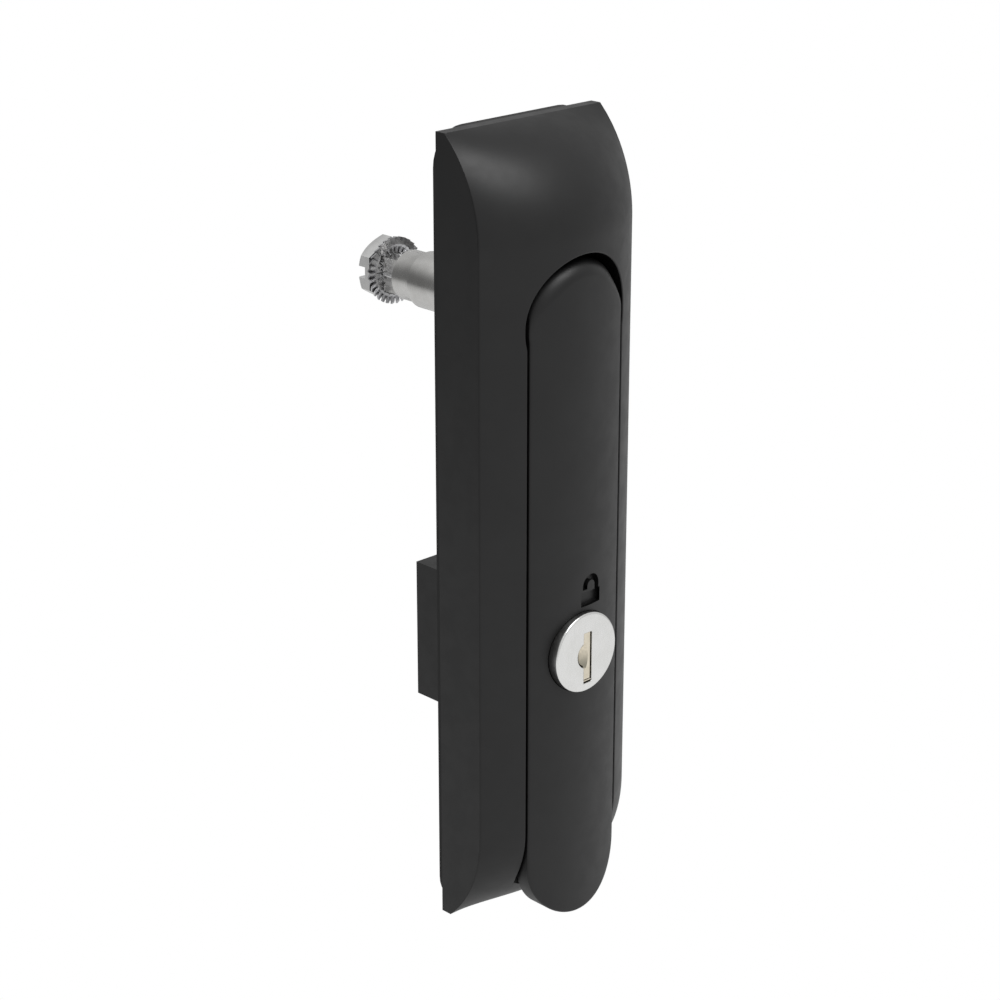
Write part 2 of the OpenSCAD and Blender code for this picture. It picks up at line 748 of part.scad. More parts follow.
housing();
gasket();
fixing_inserts();
catch_plate();
rest_pad();
carrier();
spindle_bush();
spindle();
spindle_seal();
spring_washer();
retaining_ring();
toothed_washer();
cam_screw();
handle();
hinge_pin();
lock_barrel();
lock_clip();
face_cap();
dust_shutter();
lock_plug();
lock_wafers();
wafer_springs();
lock_cam();
cam_nut();
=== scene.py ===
import json
import math

import bmesh
import bpy
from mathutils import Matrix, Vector


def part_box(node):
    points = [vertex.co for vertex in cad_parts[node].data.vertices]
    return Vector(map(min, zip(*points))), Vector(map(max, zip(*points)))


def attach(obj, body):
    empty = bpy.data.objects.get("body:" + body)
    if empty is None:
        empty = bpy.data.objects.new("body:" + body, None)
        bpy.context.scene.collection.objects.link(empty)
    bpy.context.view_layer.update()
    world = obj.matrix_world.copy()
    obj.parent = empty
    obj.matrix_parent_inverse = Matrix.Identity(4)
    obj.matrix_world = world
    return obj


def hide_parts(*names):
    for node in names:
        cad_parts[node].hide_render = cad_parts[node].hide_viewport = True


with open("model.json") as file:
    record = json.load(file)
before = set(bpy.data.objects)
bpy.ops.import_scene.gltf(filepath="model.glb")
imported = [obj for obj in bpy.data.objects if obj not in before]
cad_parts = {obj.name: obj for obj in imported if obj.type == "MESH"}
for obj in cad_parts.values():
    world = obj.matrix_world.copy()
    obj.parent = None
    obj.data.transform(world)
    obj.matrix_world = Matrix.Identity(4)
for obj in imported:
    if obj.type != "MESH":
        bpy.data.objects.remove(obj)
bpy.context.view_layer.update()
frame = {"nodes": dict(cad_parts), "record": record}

MM = 0.001
nodes = frame["nodes"]
slots = {row["node"]: row["material_slot"] for row in frame["record"]["subparts"]}


def new_object(name, data):
    obj = bpy.data.objects.new(name, data)
    bpy.context.scene.collection.objects.link(obj)
    return obj


# Camera

AZIMUTH = math.radians(-43.809)
ELEVATION = math.radians(20.436)
DISTANCE = 418.32 * MM
TARGET = Vector((-3.422, -1.2, -33.167)) * MM
SENSOR = 36.0
LENS = 90.22


def back_vector(azimuth, elevation):
    """Unit vector from the target towards a viewer at that azimuth and elevation."""
    return Vector((math.sin(azimuth) * math.cos(elevation),
                   -math.cos(azimuth) * math.cos(elevation), math.sin(elevation)))


def aim(obj, back, distance):
    """Sets the object back from the target and turns it towards the target."""
    obj.location = TARGET + back * distance
    obj.rotation_euler = back.to_track_quat("Z", "Y").to_euler()


def make_camera():
    data = bpy.data.cameras.new("camera")
    data.lens = LENS
    data.sensor_width = SENSOR
    data.clip_start = 0.01
    data.clip_end = 20
    cam = new_object("camera", data)
    aim(cam, back_vector(AZIMUTH, ELEVATION), DISTANCE)
    bpy.context.scene.camera = cam


# Lamps, world and floor

KEY_AZIMUTH, KEY_ELEVATION = -5, 57
KEY_DISTANCE, KEY_SIZE, KEY_POWER = 1.1, 0.66, 6.8

WORLD_PLAIN = 0.74
WORLD_DARK = 0.55
WORLD_BACK = 0.15
WORLD_DIFFUSE = 0.5
BACK_LEFT = (-0.73, 0.68, 0.0)
BACK_RIGHT = (0.65, 0.68, 0.35)

FLOOR_DROP = 0.42
FLOOR_HALF = 6.0
FLOOR_GREY = 0.62
FLOOR_GLOSS = 0.96


def make_key_lamp():
    data = bpy.data.lights.new("key", "AREA")
    data.energy = KEY_POWER
    data.size = KEY_SIZE
    back = back_vector(math.radians(KEY_AZIMUTH), math.radians(KEY_ELEVATION))
    aim(new_object("key", data), back, KEY_DISTANCE)


class Tree:
    """Short way to add and join shader nodes."""

    def __init__(self, tree, clear=False):
        self.tree = tree
        if clear:
            tree.nodes.clear()

    def add(self, kind, inputs=None, **settings):
        node = self.tree.nodes.new(kind)
        for key, value in settings.items():
            setattr(node, key, value)
        for key, value in (inputs or {}).items():
            self.put(node.inputs[key], value)
        return node

    def put(self, socket, value):
        if isinstance(value, bpy.types.NodeSocket):
            self.tree.links.new(value, socket)
        elif isinstance(value, bpy.types.Node):
            self.tree.links.new(value.outputs[0], socket)
        else:
            socket.default_value = value

    def math(self, operation, a, b=0.0):
        return self.add("ShaderNodeMath", {0: a, 1: b}, operation=operation).outputs[0]

    def dot(self, vector, direction):
        node = self.add("ShaderNodeVectorMath", {0: vector}, operation="DOT_PRODUCT")
        node.inputs[1].default_value = Vector(direction).normalized()
        return node.outputs["Value"]

    def ramp(self, value, low, high, out_low, out_high):
        """Smooth change from one value to another between two limits."""
        node = self.add("ShaderNodeMapRange", {"Value": value, "From Min": low, "From Max": high,
                                               "To Min": out_low, "To Max": out_high},
                        interpolation_type="SMOOTHSTEP")
        return node.outputs[0]

    def white(self, kind, strength):
        """White background or emission of a given strength."""
        return self.add(kind, {"Color": (1, 1, 1, 1), "Strength": strength})

    def by_ray(self, light, gloss, seen):
        """One shader for diffuse light, one for glossy rays, and one for the camera and glass."""
        path = self.add("ShaderNodeLightPath")
        lit = self.add("ShaderNodeMixShader", {0: path.outputs["Is Glossy Ray"], 1: light, 2: gloss})
        direct = self.math("MAXIMUM", path.outputs["Is Camera Ray"], path.outputs["Is Transmission Ray"])
        return self.add("ShaderNodeMixShader", {0: direct, 1: lit, 2: seen})


def make_world():
    """White to the camera. Elsewhere a studio with a dark band low behind on the left."""
    world = bpy.data.worlds.new("world")
    bpy.context.scene.world = world
    world.use_nodes = True
    t = Tree(world.node_tree, clear=True)
    way = t.add("ShaderNodeTexCoord").outputs["Generated"]
    height = t.math("ABSOLUTE", t.dot(way, (0, 0, 1)))
    left = t.ramp(t.dot(way, BACK_LEFT), 0.1, 0.9, 0, WORLD_DARK)
    band = t.math("MULTIPLY", t.ramp(height, 0.15, 0.8, 1, 0), left)
    right = t.ramp(t.dot(way, BACK_RIGHT), 0.75, 0.98, 0, WORLD_BACK)
    studio = t.math("SUBTRACT", t.math("SUBTRACT", WORLD_PLAIN, band), right)
    kind = "ShaderNodeBackground"
    mix = t.by_ray(t.white(kind, WORLD_DIFFUSE), t.white(kind, studio), t.white(kind, 1.0))
    t.add("ShaderNodeOutputWorld", {0: mix})


def floor_material():
    """White to the camera. Glossy rays see it darker towards the back, the distance and the left."""
    mat = bpy.data.materials.new("floor")
    mat.use_nodes = True
    t = Tree(mat.node_tree, clear=True)
    away = t.add("ShaderNodeVectorMath", {0: t.add("ShaderNodeTexCoord").outputs["Object"]},
                 operation="SUBTRACT")
    away.inputs[1].default_value = (TARGET.x, TARGET.y, TARGET.z - FLOOR_DROP)
    reach = t.add("ShaderNodeVectorMath", {0: away}, operation="LENGTH").outputs["Value"]
    way = t.add("ShaderNodeVectorMath", {0: away}, operation="NORMALIZE")
    front = t.ramp(t.dot(way, (0, -1, 0)), -0.5, 0.6, 0.72, 1.02)
    far = t.ramp(reach, 0.7, 3.2, 1.0, 0.66)
    left = t.math("MULTIPLY", t.ramp(t.dot(way, BACK_LEFT), 0.3, 0.95, 0, 1),
                  t.ramp(reach, 0.6, 3.4, -0.1, 0.6))
    shade = t.math("MULTIPLY", t.math("MULTIPLY", front, far), t.math("SUBTRACT", 1.0, left))
    kind = "ShaderNodeEmission"
    mix = t.by_ray(t.add("ShaderNodeBsdfDiffuse", {"Color": (FLOOR_GREY, FLOOR_GREY, FLOOR_GREY, 1)}),
                   t.white(kind, t.math("MULTIPLY", shade, FLOOR_GLOSS)), t.white(kind, 1.0))
    t.add("ShaderNodeOutputMaterial", {0: mix})
    return mat


def make_floor():
    mesh = bpy.data.meshes.new("floor")
    corners = ((-1, -1), (1, -1), (1, 1), (-1, 1))
    z = TARGET.z - FLOOR_DROP
    mesh.from_pydata([(FLOOR_HALF * a, FLOOR_HALF * b, z) for a, b in corners], [], [(0, 1, 2, 3)])
    mesh.materials.append(floor_material())
    new_object("floor", mesh)


make_camera()
make_world()
make_floor()
make_key_lamp()


# Materials

def new_material(name, colour, roughness, metallic=0.0):
    mat = bpy.data.materials.new(name)
    mat.use_nodes = True
    bsdf = mat.node_tree.nodes["Principled BSDF"]
    bsdf.inputs["Base Color"].default_value = (*colour, 1)
    bsdf.inputs["Roughness"].default_value = roughness
    bsdf.inputs["Metallic"].default_value = metallic
    return mat, Tree(mat.node_tree), bsdf


def stretched(t, scale):
    """Object coordinates scaled by axis, for grain that runs one way."""
    coord = t.add("ShaderNodeTexCoord")
    mapping = t.add("ShaderNodeMapping", {"Vector": coord.outputs["Object"]})
    mapping.inputs["Scale"].default_value = scale
    return mapping.outputs[0]


def noise(t, vector, scale, detail=3.0, rough=0.55):
    return t.add("ShaderNodeTexNoise", {"Vector": vector, "Scale": scale, "Detail": detail,
                                        "Roughness": rough}).outputs["Fac"]


def tint(t, bsdf, value, low, high):
    """Base colour between two tones, led by a value from 0 to 1."""
    node = t.add("ShaderNodeMix", data_type="RGBA")
    t.put(node.inputs["Factor"], value)
    t.put(node.inputs["A"], (*low, 1))
    t.put(node.inputs["B"], (*high, 1))
    t.put(bsdf.inputs["Base Color"], node.outputs["Result"])


def bump(t, bsdf, *layers):
    """Stacked bumps, each as height, strength and depth in metres."""
    last = None
    for height, strength, depth in layers:
        node = t.add("ShaderNodeBump", {"Height": height, "Strength": strength, "Distance": depth})
        if last:
            t.put(node.inputs["Normal"], last)
        last = node.outputs[0]
    t.put(bsdf.inputs["Normal"], last)


def plastic():
    """Fine moulded grain over a slow drift of tone and gloss."""
    mat, t, bsdf = new_material("black_plastic", (0.006, 0.006, 0.0062), 0.42)
    bsdf.inputs["Specular IOR Level"].default_value = 0.4
    place = stretched(t, (1, 1, 1))
    grain = noise(t, place, 5200, 2.0)
    flow = noise(t, place, 90, 3.0)
    tint(t, bsdf, t.ramp(flow, 0.3, 0.7, 0, 1), (0.005, 0.005, 0.0052), (0.007, 0.007, 0.0072))
    t.put(bsdf.inputs["Roughness"], t.ramp(noise(t, place, 320, 2.0), 0.3, 0.7, 0.40, 0.46))
    bump(t, bsdf, (grain, 0.35, 0.00001), (flow, 0.07, 0.00004))
    return mat


def rubber():
    mat, t, bsdf = new_material("black_rubber", (0.012, 0.012, 0.012), 0.72)
    place = stretched(t, (1, 1, 1))
    tint(t, bsdf, noise(t, place, 400), (0.009, 0.009, 0.009), (0.017, 0.017, 0.017))
    bump(t, bsdf, (noise(t, place, 2600, 4.0), 0.5, 0.00004))
    return mat


def metal(name, low, high, roughness, grain=(1, 1, 1), fine=2500, strength=0.2, swell=0.2):
    """Metal with tone drift, uneven polish and a grain that can run one way."""
    mat, t, bsdf = new_material(name, high, roughness, 1.0)
    uneven = 0.06
    lines = noise(t, stretched(t, grain), fine, 4.0)
    cloud = noise(t, stretched(t, (1, 1, 1)), 260, 3.0)
    tint(t, bsdf, t.ramp(cloud, 0.3, 0.7, 0, 1), low, high)
    t.put(bsdf.inputs["Roughness"], t.ramp(lines, 0.25, 0.75, roughness - uneven, roughness + uneven))
    bump(t, bsdf, (lines, strength, 0.000012), (cloud, swell, 0.00003))
    return mat


def bearing_plastic():
    mat, t, bsdf = new_material("bearing_plastic", (0.66, 0.65, 0.6), 0.42)
    place = stretched(t, (1, 1, 1))
    tint(t, bsdf, noise(t, place, 300), (0.62, 0.61, 0.56), (0.7, 0.69, 0.64))
    bump(t, bsdf, (noise(t, place, 3000), 0.3, 0.00001))
    return mat


def key_dish():
    """Painted shade in the hollow of the key's insert, darker towards its foot, with a painted highlight
    along its lowest edge.
    """
    mat, t, bsdf = new_material("key_dish", (0.6, 0.55, 0.42), 0.42, 1.0)
    place = t.add("ShaderNodeTexCoord").outputs["Object"]
    height = t.dot(place, (0, 0, 1))
    # Painted highlight in a thin band at the lowest edge, and painted shade that grows darker towards
    # the foot
    painted_glint = t.ramp(height, -0.0594, -0.0591, 1.0, 0.0)
    painted_shade_and_glint = t.math("MAXIMUM", t.ramp(height, -0.0590, -0.0555, 0.0, 1.0), painted_glint)
    mottled_painted_light = t.math("MULTIPLY", t.ramp(noise(t, place, 2400), 0.3, 0.7, 0.7, 1.0), painted_shade_and_glint)
    tint(t, bsdf, mottled_painted_light, (0.33, 0.31, 0.25), (0.78, 0.71, 0.58))
    bump(t, bsdf, (noise(t, place, 5000), 0.3, 0.00001))
    return mat


TURNED = (0.12, 1.0, 0.12)
BRUSHED = (1, 1, 0.15)
MATERIALS = {
    "housing": plastic(),
    "seal": rubber(),
    "brass": metal("brass", (0.68, 0.48, 0.2), (0.78, 0.58, 0.28), 0.32),
    "steel": metal("zinc_steel", (0.46, 0.46, 0.47), (0.6, 0.6, 0.6), 0.36),
    "dark_metal": metal("blackened_metal", (0.07, 0.07, 0.075), (0.14, 0.14, 0.145), 0.42),
    "bearing": bearing_plastic(),
    "spindle": metal("turned_steel", (0.56, 0.555, 0.54), (0.66, 0.655, 0.64), 0.23, TURNED, 5200),
    "plated_steel": metal("plated_steel", (0.62, 0.62, 0.615), (0.74, 0.74, 0.735), 0.24, TURNED, 4200),
    "plug_metal": metal("nickel_brass", (0.66, 0.6, 0.48), (0.78, 0.72, 0.6), 0.4),
    "lock_metal": metal("satin_nickel", (0.7, 0.7, 0.685), (0.74, 0.74, 0.73), 0.24, BRUSHED, 3600,
                        strength=0.16, swell=0.05),
    # Painted shade: a darker copy of the lock's metal for the face's side wall
    "lock_wall_painted_shade": metal("lock_wall_painted_shade", (0.24, 0.24, 0.235), (0.3, 0.3, 0.295), 0.34,
                       strength=0.1, swell=0.05),
    "washer": metal("washer_steel", (0.44, 0.44, 0.45), (0.6, 0.6, 0.61), 0.32),
    "key_dish": key_dish(),
}
MATERIALS["handle"] = MATERIALS["housing"]

for name, obj in nodes.items():
    obj.data.materials.clear()
    obj.data.materials.append(MATERIALS[slots[name]])


# Sizes in millimetres, as in the construction

HOUSING_HALF = 17.25
TOP_Z = 31.15
BOTTOM_Z = -105.45
BACK_Y = -1.2
BODY_H = 16.25
LIP_H = 2.05
END_RUN = 17.5
CROWN_RISE = 6.6
CROWN_R = (HOUSING_HALF ** 2 + CROWN_RISE ** 2) / (2 * CROWN_RISE)
FRONT_Y = BACK_Y - BODY_H
FLOOR_Y = -12.2
POCKET_HALF = 10.65
POCKET_R = 10.95
HEAD_RISE = 0.6
HANDLE_HALF = 10.3
HEAD_R = 10.4
NECK_Z = -1.44
LOW_Z = BOTTOM_Z + HANDLE_HALF
DOME_R = 26.0
DOME_Z = 1.6
LOCK_Z = -56.5
FACE_Y = -18.45
FACE_R = 7.0

# Sizes in millimetres that only the looks have

RIM_R = 0.3
SIDE_R = 0.22
SIDE_R_END = 0.06
HANDLE_R = 0.35
HEAD_EDGE_R = 2.7
HEAD_EDGE_CUT = 0.034
FACE_BORE_R = FACE_R + 0.105
CAP_WALL = 0.75
CAP_GROW = 1.003

SIGN_X = 1.95
SIGN_LOW = LOCK_Z + 7.85
SIGN_W = 4.7
SIGN_H = 2.5
SIGN_DEPTH = 0.9
SHACKLE_R = 2.0
SHACKLE_IN_R = 0.9
SHACKLE_RISE = 0.95
SHACKLE_CUT = 0.45

KEY_X = 0.33
KEY_HALF = 0.925
KEY_TOP = 3.525
KEY_LOW = -5.525
KEY_GAP = 0.44
BULGE_Z = -0.5
BULGE_R = 2.05

WASHER_IN_R = 4.15
WASHER_OUT_R = 4.6
WASHER_HALF = 0.2


# Surfaces and their rounded edges

def ease(f):
    f = max(0.0, min(1.0, f))
    return f * f * (3 - 2 * f)


def arc_steps(count):
    """Steps from 0 to 1 that are dense at first, as on a quarter of a circle."""
    return [1 - math.cos(math.radians(90 * k / count)) for k in range(count + 1)]


def spread(total, dense_a, dense_b, count):
    """Shares of a length, with a rounded edge's own steps at either end."""
    edge = arc_steps(6)[:6]
    steps = [dense_a * e for e in edge]
    steps += [dense_a + (total - dense_a - dense_b) * k / count for k in range(count + 1)]
    steps += [total - dense_b * e for e in reversed(edge)]
    return [s / total for s in steps]


def crown_fall(x):
    return CROWN_R - math.sqrt(CROWN_R ** 2 - x * x)


def crown_y(x):
    return FRONT_Y + crown_fall(x)


def end_arc(x):
    """Height of the crown at x, and the radius of the arc that runs down to the lip."""
    full = BODY_H - crown_fall(x)
    drop = full - LIP_H
    return full, (END_RUN ** 2 + drop ** 2) / (2 * drop)


def skin_y(x, z):
    """Front surface of the housing before any edge is rounded."""
    s = min(z - BOTTOM_Z, TOP_Z - z)
    full, r = end_arc(x)
    if s >= END_RUN:
        return BACK_Y - full
    return BACK_Y - (full - r + math.sqrt(max(r * r - (END_RUN - max(s, 0.0)) ** 2, 0.0)))


def floor_crossing(x):
    """Height where the skin at the lower end meets the pocket's floor."""
    full, r = end_arc(x)
    q = (BACK_Y - FLOOR_Y) - full + r
    return BOTTOM_Z + END_RUN - math.sqrt(r * r - q * q)


def pocket_gap(x, z):
    """Distance from the pocket's outline, positive on the rim's side."""
    gaps = [math.hypot(x, z) - POCKET_R, math.hypot(x, z - HEAD_RISE) - POCKET_R]
    if z < 0:
        gaps.append(abs(x) - POCKET_HALF)
    return min(gaps)


def side_gap(x, z):
    return HOUSING_HALF - abs(x)


def rim_radius(x, z):
    """Rounding of the pocket's rim, which ends where the skin meets the floor."""
    return max(0.0, min(RIM_R, 0.5 * (FLOOR_Y - skin_y(x, z))))


def side_radius(x, z):
    """Rounding of the housing's long edges, which fades out along the curved ends."""
    s = min(z - BOTTOM_Z, TOP_Z - z) / END_RUN
    return SIDE_R_END + (SIDE_R - SIDE_R_END) * ease(s * 1.2 - 0.2)


def rounding(t, r):
    """Drop and slope of a rounded edge at a distance t inside it."""
    if r <= 0 or t >= r:
        return 0.0, 0.0
    t = max(t, 0.0)
    away = max(t, 0.004 * r)
    return r - math.sqrt(r * r - (r - t) ** 2), -(r - away) / math.sqrt(r * r - (r - away) ** 2)


def slope(f, x, z, e=0.01):
    return (f(x + e, z) - f(x - e, z)) / (2 * e), (f(x, z + e) - f(x, z - e)) / (2 * e)


def rounded_point(x, z, base, edges):
    """Point and normal on a surface y = base(x, z) with rounded edges."""
    y = base(x, z)
    gx, gz = slope(base, x, z)
    for gap, radius in edges:
        drop, rate = rounding(gap(x, z), radius(x, z))
        if rate:
            ex, ez = slope(gap, x, z)
            y += drop
            gx += rate * ex
            gz += rate * ez
    return Vector((x, y, z)), Vector((gx, -1.0, gz)).normalized()


def housing_point(x, z):
    return rounded_point(x, z, skin_y, ((pocket_gap, rim_radius), (side_gap, side_radius)))


def lip_point(x, z):
    return rounded_point(x, z, skin_y, ((lambda a, b: floor_crossing(a) - b, lambda a, b: RIM_R),))


def cad_handle_y(x, z):
    """Front surface of the handle as constructed, with a plain dome on its head."""
    s = z - DOME_Z
    fall = crown_fall(x)
    if s <= 0:
        return FRONT_Y + fall
    r = DOME_R - fall
    return FRONT_Y + DOME_R - math.sqrt(r * r - s * s)


def handle_gap(x, z):
    """Distance inside the handle's outline."""
    if z > NECK_Z:
        return HEAD_R - math.hypot(x, z)
    if z < LOW_Z:
        return HANDLE_HALF - math.hypot(x, z - LOW_Z)
    return HANDLE_HALF - abs(x)


def handle_width(z):
    """Half of the handle's width."""
    if z > NECK_Z:
        return math.sqrt(max(HEAD_R ** 2 - z * z, 0.0))
    if z < LOW_Z:
        return math.sqrt(max(HANDLE_HALF ** 2 - (z - LOW_Z) ** 2, 0.0))
    return HANDLE_HALF


def handle_edge(x, z):
    """Rounding of the handle's edge, which grows over the top of its head."""
    return HANDLE_R + (HEAD_EDGE_R - HANDLE_R) * ease((z - 0.5) / 6.0)


def edge_gap(x, z):
    """Distance inside the outline, where the head's wide rounding stops short of its wall."""
    return handle_gap(x, z) + HEAD_EDGE_CUT * (handle_edge(x, z) - HANDLE_R)


def handle_point(x, z):
    return rounded_point(x, z, lambda a, b: crown_y(a), ((edge_gap, handle_edge),))


# Meshes

def smooth_by_angle(mesh, angle):
    """Smooth shading across edges flatter than the angle, and none on flat sides."""
    if "custom_normal" in mesh.attributes:
        mesh.attributes.remove(mesh.attributes["custom_normal"])
    mesh.set_sharp_from_angle(angle=math.radians(angle))
    mesh.polygons.foreach_set("use_smooth", [max(map(abs, p.normal)) < 0.99999 for p in mesh.polygons])


def finish_mesh(mesh, material, angle=30):
    smooth_by_angle(mesh, angle)
    mesh.materials.clear()
    mesh.materials.append(material)


def bare_object(name, bm):
    """Object from a bmesh that has its faces turned outwards, with no material yet."""
    bmesh.ops.recalc_face_normals(bm, faces=bm.faces)
    mesh = bpy.data.meshes.new(name)
    bm.to_mesh(mesh)
    bm.free()
    return new_object(name, mesh)


def finished_object(name, bm, material, angle=30):
    obj = bare_object(name, bm)
    finish_mesh(obj.data, material, angle)
    return obj


def stand_in(piece, node, body):
    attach(piece, body)
    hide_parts(node)


def node_copy(node):
    """The node's mesh for editing, with the points of its faces joined."""
    bm = bmesh.new()
    bm.from_mesh(nodes[node].data)
    bmesh.ops.remove_doubles(bm, verts=bm.verts, dist=0.000002)
    return bm


def copy_without(node, name, drop_face, move_vert):
    """Copy of a node's mesh with some faces left out and some points moved."""
    bm = node_copy(node)
    bm.normal_update()
    gone = [f for f in bm.faces if drop_face(f.calc_center_median() / MM, f.normal)]
    bmesh.ops.delete(bm, geom=gone, context="FACES")
    for v in bm.verts:
        v.co.y = move_vert(v.co / MM) * MM
    mesh = bpy.data.meshes.new(name)
    bm.to_mesh(mesh)
    bm.free()
    finish_mesh(mesh, MATERIALS[slots[node]], 28)
    return new_object(name, mesh)


def add_modifier(obj, name, kind, **settings):
    mod = obj.modifiers.new(name, kind)
    for key, value in settings.items():
        setattr(mod, key, value)


def bake_modifiers(obj):
    """Puts the object's modifiers into its mesh."""
    mesh = bpy.data.meshes.new_from_object(obj.evaluated_get(bpy.context.evaluated_depsgraph_get()))
    obj.modifiers.clear()
    obj.data = mesh
    return mesh


def cut(obj, tools, material_mode):
    """Takes the tools' shapes away from the object."""
    for tool in tools:
        add_modifier(obj, "cut", "BOOLEAN", operation="DIFFERENCE", solver="EXACT",
                     material_mode=material_mode, object=tool)
    mesh = bake_modifiers(obj)
    for tool in tools:
        bpy.data.objects.remove(tool)
    return mesh


def extrude(bm, outline, y, depth):
    """Closed block on an outline in X and Z, from y to y + depth."""
    face = bm.faces.new([bm.verts.new(Vector((x, y, z)) * MM) for x, z in outline])
    made = bmesh.ops.extrude_face_region(bm, geom=[face])
    moved = [g for g in made["geom"] if isinstance(g, bmesh.types.BMVert)]
    bmesh.ops.translate(bm, verts=moved, vec=Vector((0, depth, 0)) * MM)


def circle_arc(x, z, r, start, end, count):
    """Points on an arc in X and Z, with its angles in degrees."""
    angles = [math.radians(start + (end - start) * k / count) for k in range(count + 1)]
    return [(x + r * math.cos(a), z + r * math.sin(a)) for a in angles]


def add_mesh(name, material, grids):
    """One mesh from grids of points with normals, each with its own winding."""
    verts, faces, normals = [], [], []
    for rows, flip in grids:
        start = len(verts)
        width = len(rows[0])
        for row in rows:
            for point, normal in row:
                verts.append(point * MM)
                normals.append(normal)
        for j in range(len(rows) - 1):
            for i in range(width - 1):
                a = start + j * width + i
                face = (a, a + 1, a + 1 + width, a + width)
                faces.append(face[::-1] if flip else face)
    mesh = bpy.data.meshes.new(name)
    mesh.from_pydata(verts, [], faces)
    mesh.polygons.foreach_set("use_smooth", [True] * len(mesh.polygons))
    mesh.normals_split_custom_set_from_vertices(normals)
    mesh.materials.append(material)
    return new_object(name, mesh)


# Housing

def outline_radius(angle):
    """Distance from the ray centre to the pocket's outline."""
    low, high = 8.0, 14.0
    for _ in range(40):
        mid = (low + high) / 2
        inside = pocket_gap(mid * math.cos(angle), HEAD_RISE / 2 + mid * math.sin(angle)) < 0
        low, high = (mid, high) if inside else (low, mid)
    return high


def housing_lines():
    """Ends of the lines from the pocket's rim to the housing's edge, on the right half."""
    straight_low, straight_top = BOTTOM_Z + END_RUN, -8.0
    bend = -math.sqrt(POCKET_R ** 2 - POCKET_HALF ** 2)
    centre = HEAD_RISE / 2
    levels = [BOTTOM_Z + END_RUN * s for s in arc_steps(26)]
    levels += [straight_low + (straight_top - straight_low) * k / 40 for k in range(1, 41)]
    ends = [((POCKET_HALF, z), (HOUSING_HALF, z)) for z in levels]

    start = math.atan2(bend - centre, POCKET_HALF)
    outer_z = centre + HOUSING_HALF * math.tan(start)
    for k in range(1, 8):
        f = k / 8
        ends.append(((POCKET_HALF, straight_top + (bend - straight_top) * f),
                     (HOUSING_HALF, straight_top + (outer_z - straight_top) * f)))

    corner = math.atan2(TOP_Z - centre, HOUSING_HALF)
    angles = [start + (corner - start) * k / 60 for k in range(60)]
    angles += [corner + (math.pi / 2 - corner) * k / 30 for k in range(31)]
    for a in angles:
        c, s = math.cos(a), math.sin(a)
        inner = outline_radius(a)
        outer = HOUSING_HALF / c if a <= corner else (TOP_Z - centre) / s
        ends.append(((inner * c, centre + inner * s), (outer * c, centre + outer * s)))
    return ends


def housing_rows():
    """Rows of places in X and Z along the housing's lines, dense at the rounded edges."""
    rows = []
    for (x0, z0), (x1, z1) in housing_lines():
        length = math.hypot(x1 - x0, z1 - z0)
        rim = max(rim_radius(x0, z0), 0.02)
        slant = min(length / max(x1 - x0, 1.0), 3.0)
        side = side_radius(x1, z1) * slant if x1 > HOUSING_HALF - 0.01 else 0.1
        shares = spread(length, rim, side, 22)
        rows.append([(x0 + (x1 - x0) * f, z0 + (z1 - z0) * f) for f in shares])
    return rows


def lip_rows():
    """Skin below the pocket's open end, from the floor down to the lip."""
    rows = []
    for step in arc_steps(24):
        row = []
        for i in range(41):
            x = POCKET_HALF * (i / 20 - 1)
            row.append(lip_point(x, BOTTOM_Z + (floor_crossing(x) - BOTTOM_Z) * (1 - step)))
        rows.append(row)
    return rows


def dress_housing():
    half = housing_rows()
    grids = [([[housing_point(side * x, z) for x, z in row] for row in half], side < 0)
             for side in (1, -1)]
    grids.append((lip_rows(), True))
    front = add_mesh("housing_front", MATERIALS["housing"], grids)

    def within(x):
        return max(-HOUSING_HALF, min(HOUSING_HALF, x))

    def on_skin(p):
        return abs(p.y - skin_y(within(p.x), p.z)) < 0.15

    def drop_face(p, n):
        if n.y < -0.9999 and abs(p.y - FLOOR_Y) < 0.01:
            return False
        return n.y < -0.12 and abs(n.x) < 0.75 and on_skin(p) and p.y < BACK_Y - LIP_H + 0.05

    def move_vert(p):
        if p.y > BACK_Y - LIP_H + 0.01 or not on_skin(p):
            return p.y
        x = within(p.x)
        if abs(pocket_gap(p.x, p.z)) < 0.03 and p.y < FLOOR_Y - 0.01:
            return skin_y(x, p.z) + rim_radius(x, p.z)
        if abs(p.x) > HOUSING_HALF - 0.01:
            return skin_y(x, p.z) + side_radius(x, p.z)
        return p.y

    back = copy_without("housing", "housing_back", drop_face, move_vert)
    for piece in (front, back):
        stand_in(piece, "housing", "housing")


# Handle

